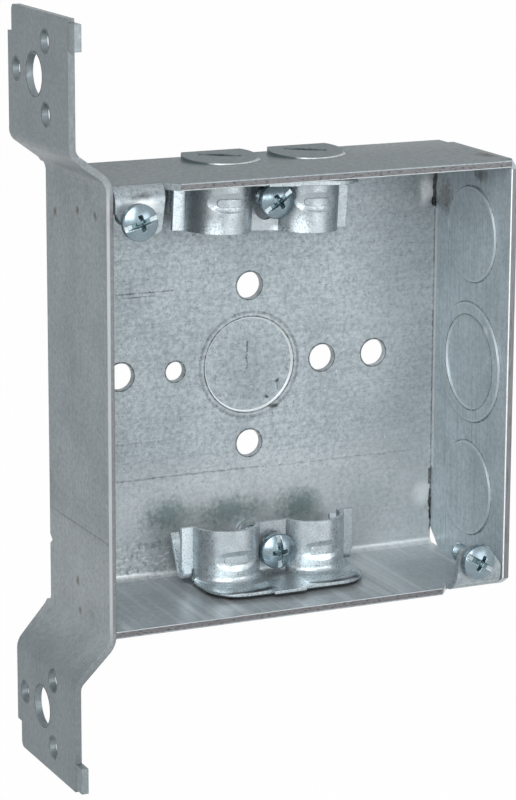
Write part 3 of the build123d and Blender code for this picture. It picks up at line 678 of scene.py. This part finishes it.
def bracket_layers(finish):
    """Weld burns, a scratch, painted shade on the ears, hole rims and the sheared front edge of the bracket
    with a painted highlight along it.
    """
    layers = []
    for y, z, size in WELD_BURNS:
        layers.append((finish.rust, patch((-HALF, y, z), (2.0, 0.8 * size, size), 0.8)))
    layers.append((finish.gap, band((-HALF - 1, 0.5, -28.9), (-HALF + 1, 37.5, -28.8), 0.25, 0.5, 0.5)))
    layers.append((finish.bright, band((-HALF - 1, 0.2, -HALF), (-HALF + 1, FAR, -31), 5.0, 0.07)))
    for side in (1, -1):
        ear = sorted((side * (HALF + 9), side * (HALF + FAR)))
        # Painted shade on the bracket's ears
        layers.append((finish.shade, band((-PAST_EARS, 0.2, ear[0]), (-HALF, FAR, ear[1]), 5.0, 0.40)))
        for y, z, radius in STUD_HOLES:
            centre = (-HALF, y - OPENING[1], side * z - OPENING[2])
            layers.append((finish.gap, ring(centre, ON_SIDE, radius + 0.25, 0.4, 0.8, 0.5)))
    front = (-PAST_EARS, FRONT_LOW, -HALF - FAR), (-INNER + 1, FRONT_HIGH, HALF + FAR)
    between_bends = band((-PAST_EARS, -5, -HALF + 4), (PAST_EARS, 5, HALF - 4), 6.0, 1.0)
    bright_line = band((-HALF - 1, FRONT_LOW, -FAR), (-HALF + 0.7, FRONT_HIGH, FAR), 0.15, 0.30, 0.4)
    bare_line = band((-HALF + 0.8, FRONT_LOW, -FAR), (-INNER + 1, FRONT_HIGH, FAR), 0.15, 0.7, 0.4)
    return layers + [
        (finish.bare, band(*front, 0.04, 0.55, 0.6)),
        # Painted highlight along the bracket's front edge
        (finish.bright, both(between_bends, bright_line)),
        (finish.bare, both(between_bends, bare_line)),
    ]


# Sheets: node, material, stretch of the rolled lines, tone, shares of grain, lines and specks, and marks; the
# tone paints light on the plate inside the box and shade on the bracket outside it
SHEETS = (
    ("body_channel", "galvanised_body", (60, 1, 1), 1.0, (0.75, 0.35, 0.55), body_layers),
    ("right_side_plate", "galvanised_plate", (1, 1, 60), 1.4, (0.45, 0.55, 0.35), plate_layers),
    ("mounting_bracket", "galvanised_bracket", (1, 1, 60), 0.74, (0.40, 0.20, 0.30), bracket_layers),
)


class STEELBOX_OT_sheets(bpy.types.Operator):
    """Finish the folded body, the side plate and the stud bracket"""

    bl_idname = "steelbox.sheets"
    bl_label = "Finish Sheets"

    def execute(self, context):
        finish = context.scene.steelbox_sheet
        for name, material, along, tone, contrast, layers in SHEETS:
            dress(name, galvanised(material, finish, along, tone, contrast, layers(finish)))
        return {"FINISHED"}


def clamp_layers(finish):
    """Painted highlights and painted shade on the strips, lobes, seat and feet, and a painted shadow along
    the lower foot's bottom edge.
    """
    highlight = [min(1.0, 1.7 * c) for c in finish.clamp]
    shaded = [0.55 * c for c in finish.clamp]
    foot_edge_shadow = [0.04 * c for c in finish.clamp]
    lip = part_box("upper_cable_clamp")[0].z / MM - OPENING[2]
    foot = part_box("lower_cable_clamp")[0].z / MM - OPENING[2]
    layers = [
        # Painted highlight on the left strip; painted shade on the right strip and the seat
        (highlight, band((-22.3, 20, -FAR), (-19.5, 32, FAR), 0.15, 0.55)),
        (shaded, band((19.5, 20, -FAR), (22.3, 32, FAR), 0.15, 0.40)),
        (shaded, band((-3.4, 20, -FAR), (3.4, 29, FAR), 0.5, 0.60)),
    ]
    # Painted shade on the upper lobes' sides
    for x, half_width, strength in SHADED_LOBE_SIDES:
        layers.append((shaded, patch((x, 24, lip + 4), (half_width, THROUGH, 14), strength)))
    # Painted highlights on the lobes and feet
    for x, rise, half_width, half_height, strength in UPPER_HIGHLIGHTS:
        layers.append((highlight, patch((x, 24, lip + rise), (half_width, THROUGH, half_height), strength)))
    for x, rise, half_width, half_height, strength in LOWER_HIGHLIGHTS:
        layers.append((highlight, patch((x, 20, foot + rise), (half_width, THROUGH, half_height), strength)))
    for x, y, half_width, half_depth, strength in FOOT_HIGHLIGHTS:
        layers.append((highlight, patch((x, y, foot + 1.0), (half_width, half_depth, 1.2), strength)))
    # Painted shadow along the bottom edge of the lower foot
    layers.append((foot_edge_shadow, band((-THROUGH, 0, foot - 0.5), (THROUGH, THROUGH, foot + 0.3), 0.1, 0.95)))
    return layers


class STEELBOX_OT_clamps(bpy.types.Operator):
    """Finish the two pressed cable clamps"""

    bl_idname = "steelbox.clamps"
    bl_label = "Finish Clamps"

    def execute(self, context):
        finish = context.scene.steelbox_bright
        material = bright_zinc("clamp_zinc", finish.clamp, *CLAMP_PLATE, clamp_layers(finish))
        for name in CLAMPS:
            dress(name, material)
        return {"FINISHED"}


def step(value, low, high):
    """Smooth rise of a value from 0 at low to 1 at high."""
    share = np.clip((value - low) / (high - low), 0, 1)
    return share * share * (3 - 2 * share)


def screw_head(form, head_radius, head_height, shank_radius, turn):
    """Round head with a slot and a cross, as rows of radius, height and recess.

    The profile runs from the crown over the round rim and down the side to the shank: a dome of revolution
    less the depth of the recess at each point. On the crown the height falls to the slot's floor within half
    its width, and into each tapered wing of the cross.
    """
    dome = head_height - HEAD_EDGE
    sphere = (head_radius**2 + dome**2) / (2 * dome)
    crown = np.linspace(INNERMOST, 1 - RIM_SHARE, CROWN_ROWS) * head_radius
    rim = np.radians(np.linspace(20, 90, RIM_ROWS))
    soft = RIM_SHARE * head_radius
    radius = np.concatenate((crown, head_radius - soft + soft * np.sin(rim), [head_radius, head_radius]))
    surface = head_height - sphere + np.sqrt(sphere**2 - np.clip(radius, 0, head_radius) ** 2)
    surface[CROWN_ROWS:-2] -= 2 * soft * (1 - np.cos(rim))
    surface[-2:] = (SIDE_ROW, HEAD_ROUND)
    radius = np.concatenate((radius, [head_radius - HEAD_ROUND, shank_radius + HEAD_ROUND]))[:, None]
    surface = np.concatenate((surface, [0.0, 0.0]))[:, None]

    angle = np.linspace(0, 2 * np.pi, COLUMNS, endpoint=False)[None, :] - np.radians(turn)
    along, side = np.abs(radius * np.cos(angle)), np.abs(radius * np.sin(angle))
    top = np.repeat(surface, COLUMNS, axis=1)
    half_slot, half_wing = form.slot_width / 2 / MM, form.cross_width / 2 / MM
    reach = form.cross_span / 2 / MM
    open_slot = step(side, half_slot + SLOT_SOFT, half_slot - SLOT_SOFT)
    cut = top + (np.minimum(top, head_height - form.slot_depth / MM) - top) * open_slot
    for u, w in ((along, side), (side, along)):
        wing = np.minimum((reach - u) / CROSS_END, (half_wing - w) / CROSS_SIDE)
        floor = head_height - form.cross_depth / MM * np.clip(wing, 0, 1)
        cut = np.minimum(cut, np.where(wing > 0, floor, cut))
    height = np.where(top > LOWEST_CUT, np.maximum(cut, LOWEST_CUT), top)
    crossed = (np.minimum(along, side) < half_wing) & (np.maximum(along, side) < reach)
    recess = np.where(crossed, 1.0, 0.5 * open_slot) * (top - height > LEAST_RECESS)
    return np.repeat(radius, COLUMNS, axis=1), -height, recess


def screw_shank(form, shank_radius, length):
    """Threaded shank, as rows of radius, height and recess.

    The radius rises and falls once a pitch along the axis, and the wave turns with the angle as a right-hand
    thread. The flanks are straight, the crest and root flat. The thread fades out under the head, and the
    whole shank narrows towards the tip.
    """
    pitch = form.pitch / MM
    height = np.linspace(FIRST_ROW, length, int(length / pitch * ROWS_PER_THREAD))[:, None]
    angle = np.linspace(0, 1, COLUMNS, endpoint=False)[None, :]
    phase = np.abs(((height / pitch + angle) % 1.0) * 2 - 1)
    wave = np.clip((phase - FLAT) / FLANK, 0, 1)
    tip = np.clip((length - height) / TIP_TAPER, 0, 1)
    depth = form.thread_depth / MM * (1 - wave) * step(height, *RUN_OUT)
    radius = (shank_radius - depth) * (TIP_SHARE + (1 - TIP_SHARE) * tip)
    return radius, np.repeat(height, COLUMNS, axis=1), np.zeros(radius.shape)


def turned(name, radius, height, recess, place):
    """Smooth closed surface about Y from rows of radius and height in millimetres, at a place in metres.

    Row i, column j lies at angle j of a full turn; a single point on the axis closes the first and last rows.
    """
    rows = len(radius)
    angle = np.linspace(0, 2 * np.pi, COLUMNS, endpoint=False)[None, :]
    points = np.stack((radius * np.cos(angle), height, radius * np.sin(angle)), axis=-1).reshape(-1, 3)
    points = np.vstack((points, [(0.0, height[0].mean(), 0.0), (0.0, height[-1].mean(), 0.0)]))
    index = np.arange(rows * COLUMNS).reshape(rows, COLUMNS)
    after = np.roll(index, -1, axis=1)
    quads = np.stack((index[:-1], index[1:], after[1:], after[:-1]), axis=-1).reshape(-1, 4)
    first, last = np.full(COLUMNS, rows * COLUMNS), np.full(COLUMNS, rows * COLUMNS + 1)
    crown_fan = np.stack((first, index[0], after[0]), axis=-1)
    tip_fan = np.stack((last, after[-1], index[-1]), axis=-1)
    mesh = bpy.data.meshes.new(name)
    faces = quads.tolist() + crown_fan.tolist() + tip_fan.tolist()
    mesh.from_pydata(points * MM + np.array(place), [], faces)
    depths = np.append(recess.ravel(), (recess[0].max(), 0.0))
    mesh.attributes.new("recess", "FLOAT", "POINT").data.foreach_set("value", depths)
    mesh.shade_smooth()
    piece = bpy.data.objects.new(name, mesh)
    bpy.context.scene.collection.objects.link(piece)
    return piece


class STEELBOX_OT_screws(bpy.types.Operator):
    """Turn the four screws with their threads, slots and crosses"""

    bl_idname = "steelbox.screws"
    bl_label = "Turn Screws"

    def execute(self, context):
        form = context.scene.steelbox_screw
        finish = context.scene.steelbox_bright
        recess = (finish.slot, finish.cross)
        material = bright_zinc("screw_zinc", finish.screw, *SCREW_PLATE, recess=recess)
        for name, body, diameter, length, head_height, turn in SCREWS:
            low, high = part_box(name)
            head = screw_head(form, (high.x - low.x) / 2 / MM, head_height, diameter / 2, turn)
            shank = screw_shank(form, diameter / 2, length)
            rows = [np.vstack(pair) for pair in zip(head, shank)]
            place = ((low.x + high.x) / 2, high.y - length * MM, (low.z + high.z) / 2)
            piece = turned(name + "_turned", *rows, place)
            piece.data.materials.append(material)
            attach(piece, body)
            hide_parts(name)
        return {"FINISHED"}


def lamp(name, place, size, aim, power):
    """Square soft lamp at a place, turned to its aim."""
    light = bpy.data.lights.new(name, "AREA")
    light.shape = "SQUARE"
    light.size = size
    light.energy = power
    holder = bpy.data.objects.new(name, light)
    bpy.context.scene.collection.objects.link(holder)
    holder.location = place
    holder.rotation_euler = (Vector(aim) - Vector(place)).to_track_quat("-Z", "Y").to_euler()
    holder.visible_camera = False


def seen_directly(tree):
    """1 for rays from the camera and for those that metal or glass sends on, else 0."""
    path = tree.nodes.new("ShaderNodeLightPath")
    seen = math(tree, "ADD", path.outputs["Is Camera Ray"], path.outputs["Is Glossy Ray"])
    return math(tree, "ADD", seen, path.outputs["Is Transmission Ray"])


def surroundings(fill):
    """White background, with an even fill for light that is scattered."""
    world = bpy.data.worlds.new("studio_white")
    bpy.context.scene.world = world
    world.use_nodes = True
    tree = world.node_tree
    strength = ramp(tree, seen_directly(tree), 0.0, 1.0, fill, 1.0)
    tree.links.new(strength, tree.nodes["Background"].inputs["Strength"])
    tree.nodes["Background"].inputs["Color"].default_value = (1.0, 1.0, 1.0, 1.0)


def floor_sheet(colour, gap):
    """Pale floor under the part, white where it is seen directly and keeping part of its shadow."""
    level = cad_box[0][2] - gap
    corners = [(x * FLOOR_REACH, y * FLOOR_REACH, level) for x, y in ((-1, -1), (1, -1), (1, 1), (-1, 1))]
    mesh = bpy.data.meshes.new("floor")
    mesh.from_pydata(corners, [], [(0, 1, 2, 3)])
    floor = bpy.data.objects.new("floor", mesh)
    bpy.context.scene.collection.objects.link(floor)
    material, tree, shader = new_material("pale_floor")
    shader.inputs["Base Color"].default_value = opaque(colour)
    shader.inputs["Roughness"].default_value = FLOOR_ROUGHNESS
    glow = node(tree, "Emission", {"Color": (1.0, 1.0, 1.0, 1.0), "Strength": 1.0})
    share = ramp(tree, seen_directly(tree), 0.0, 1.0, 0.0, FLOOR_WHITE)
    surface = node(tree, "MixShader", {0: share, 1: shader.outputs[0], 2: glow})
    tree.links.new(surface, tree.nodes["Material Output"].inputs["Surface"])
    mesh.materials.append(material)


def photo_camera():
    """The photograph's camera, from its angles, place and focal length in pixels."""
    camera = bpy.data.cameras.new("photo_camera")
    camera.sensor_fit = "VERTICAL"
    camera.sensor_height = SENSOR_HEIGHT
    camera.lens = FOCAL_PIXELS / PICTURE[1] * SENSOR_HEIGHT
    camera.shift_x = (PICTURE[0] / 2 - CENTRE_PIXEL[0]) / PICTURE[1]
    camera.shift_y = (CENTRE_PIXEL[1] - PICTURE[1] / 2) / PICTURE[1]
    camera.clip_start = 0.01
    holder = bpy.data.objects.new("photo_camera", camera)
    bpy.context.scene.collection.objects.link(holder)
    azimuth, elevation, roll = np.radians((CAMERA_AZIMUTH, CAMERA_ELEVATION, CAMERA_ROLL))
    turn = Matrix.Rotation(azimuth, 4, "Z") @ Matrix.Rotation(np.pi / 2 - elevation, 4, "X")
    holder.matrix_world = Matrix.Translation(CAMERA_PLACE) @ turn @ Matrix.Rotation(-roll, 4, "Z")
    bpy.context.scene.camera = holder


class STEELBOX_OT_stage(bpy.types.Operator):
    """Set the floor, the lamps, the surroundings and the camera"""

    bl_idname = "steelbox.stage"
    bl_label = "Set Stage"

    def execute(self, context):
        studio = context.scene.steelbox_studio
        context.scene.view_settings.view_transform = "Standard"
        surroundings(studio.fill)
        floor_sheet(studio.floor, studio.floor_gap)
        middle = (BODY_LOW + BODY_HIGH) / 2
        lamp("front_lamp", *FRONT_LAMP, middle, studio.front_lamp)
        lamp("upper_lamp", *UPPER_LAMP, middle, studio.upper_lamp)
        photo_camera()
        return {"FINISHED"}


class STEELBOX_PT_panel(bpy.types.Panel):
    """Steps that finish the box, in order"""

    bl_label = "Steel Box"
    bl_idname = "STEELBOX_PT_panel"
    bl_space_type = "VIEW_3D"
    bl_region_type = "UI"
    bl_category = "Steel Box"

    def draw(self, context):
        for item in STEPS:
            self.layout.operator(item.bl_idname)
        for group in SETTINGS:
            settings = getattr(context.scene, group)
            for name in settings.bl_rna.properties.keys():
                if name not in ("name", "rna_type"):
                    self.layout.prop(settings, name)


STEPS = (STEELBOX_OT_sheets, STEELBOX_OT_clamps, STEELBOX_OT_screws, STEELBOX_OT_stage)
SETTINGS = {
    "steelbox_sheet": SheetFinish,
    "steelbox_bright": BrightFinish,
    "steelbox_screw": ScrewForm,
    "steelbox_studio": Studio,
}
CLASSES = (*SETTINGS.values(), *STEPS, STEELBOX_PT_panel)


def register():
    """Registers the classes and puts their settings on the scene."""
    for item in CLASSES:
        bpy.utils.register_class(item)
    for name, group in SETTINGS.items():
        setattr(bpy.types.Scene, name, bpy.props.PointerProperty(type=group))


def unregister():
    """Takes the settings off the scene and the classes out, in reverse order."""
    for name in SETTINGS:
        delattr(bpy.types.Scene, name)
    for item in reversed(CLASSES):
        bpy.utils.unregister_class(item)


def main():
    """Runs every step in order."""
    register()
    bpy.ops.steelbox.sheets()
    bpy.ops.steelbox.clamps()
    bpy.ops.steelbox.screws()
    bpy.ops.steelbox.stage()


if __name__ == "__main__":
    main()
